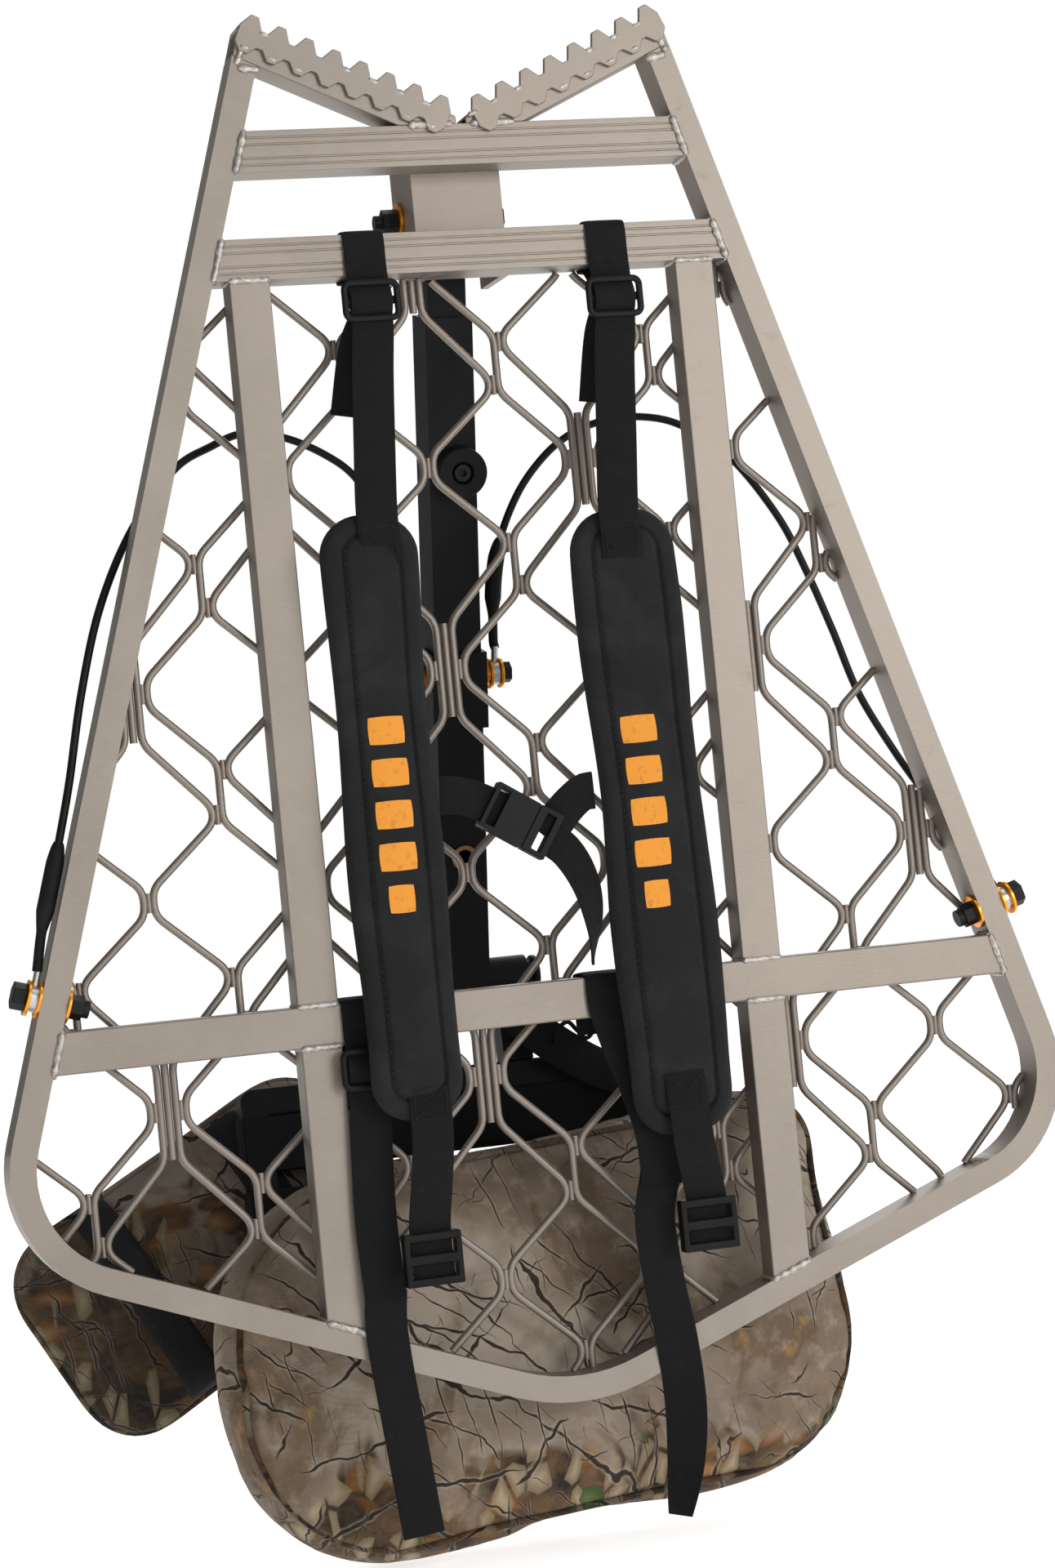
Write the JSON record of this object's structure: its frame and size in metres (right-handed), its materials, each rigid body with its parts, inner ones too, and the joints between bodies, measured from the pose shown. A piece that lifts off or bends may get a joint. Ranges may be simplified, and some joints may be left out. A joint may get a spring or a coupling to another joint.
{
  "type": "hang-on tree stand",
  "caption": "Folded aluminium tree stand platform with tree notch, ribbed crossbars, open mesh deck, hinged post with padded seat, cable stays and backpack harness.",
  "frame": {"origin": "middle of the tree notch, half way through the depth of the rail", "axes": "+X to the right across the platform, +Y to the back, out of the standing face of the deck, +Z along the platform towards the tree"},
  "size_m": [0.6752, 0.2635, 0.9612],
  "materials": {
    "frame_alu": "satin anodised, champagne grey",
    "deck_alu": "satin",
    "black_paint": "matte black powder coat",
    "black_zinc": "black oxide",
    "orange_anodised": "orange anodised",
    "steel": "zinc plated",
    "bronze": "oiled bronze",
    "rubber": "matte",
    "cable_coat": "smooth vinyl coating",
    "webbing": "woven nylon",
    "pad_fabric": "charcoal woven shell over foam",
    "camo_fabric": "printed leaf and branch camouflage",
    "buckle_plastic": "moulded acetal"
  },
  "bodies": {
    "platform": {"rail": "frame_alu", "crossbar_top": "frame_alu", "crossbar_second": "frame_alu", "crossbar_wide": "frame_alu", "stringer_upper_left": "frame_alu", "stringer_upper_right": "frame_alu", "stringer_lower_left": "frame_alu", "stringer_lower_right": "frame_alu", "notch_arm_left": "frame_alu", "notch_arm_right": "frame_alu", "tooth_plate_left": "frame_alu", "tooth_plate_right": "frame_alu", "deck": "deck_alu", "post_bracket": "frame_alu", "rail_bolts": "black_zinc", "rail_washers": "orange_anodised", "rail_nuts": "black_zinc", "cable_left": "cable_coat", "cable_right": "cable_coat", "cable_ends": "steel", "pivot_bolt": "black_zinc", "pivot_washers": "orange_anodised", "shoulder_pad_left": "pad_fabric", "shoulder_pad_right": "pad_fabric", "web_upper_left": "webbing", "web_upper_right": "webbing", "glides": "buckle_plastic", "web_lower_left": "webbing", "web_lower_right": "webbing", "ladder_locks": "buckle_plastic", "tail_left": "webbing", "tail_right": "webbing", "web_anchor_left": "webbing", "web_anchor_right": "webbing", "sternum_left": "webbing", "sternum_right": "webbing", "sternum_tail": "webbing", "buckle_socket": "buckle_plastic", "buckle_plug": "buckle_plastic"},
    "post": {"post_foot": "black_paint", "post_tube": "black_paint", "post_spacers": "black_paint", "bumper": "rubber", "bumper_screw": "black_zinc", "cable_bracket": "black_paint", "cable_bolt": "black_zinc", "cable_washers": "orange_anodised", "post_bushing": "bronze", "seat_bar": "black_paint"},
    "seat": {"seat_hubs": "black_paint", "seat_frame": "black_paint", "seat_webs": "webbing", "seat_cushion": "camo_fabric", "back_pad": "camo_fabric", "back_pad_straps": "webbing", "seat_strap": "webbing", "seat_cord": "cable_coat"}
  },
  "joints": [
    {"name": "post_hinge", "type": "hinge", "parent": "platform", "child": "post", "pos_m": [0, 0.0473, -0.05219], "axis": [1, 0, 0], "range_deg": [0, 75.6]},
    {"name": "seat_hinge", "type": "hinge", "parent": "post", "child": "seat", "pos_m": [0, 0.17164, -0.53648], "axis": [1, 0, 0], "range_deg": [-68.1, 0]}
  ],
  "couplings": [
    {"joint": "seat_hinge", "follows": "post_hinge", "ratio": -0.8995}
  ]
}
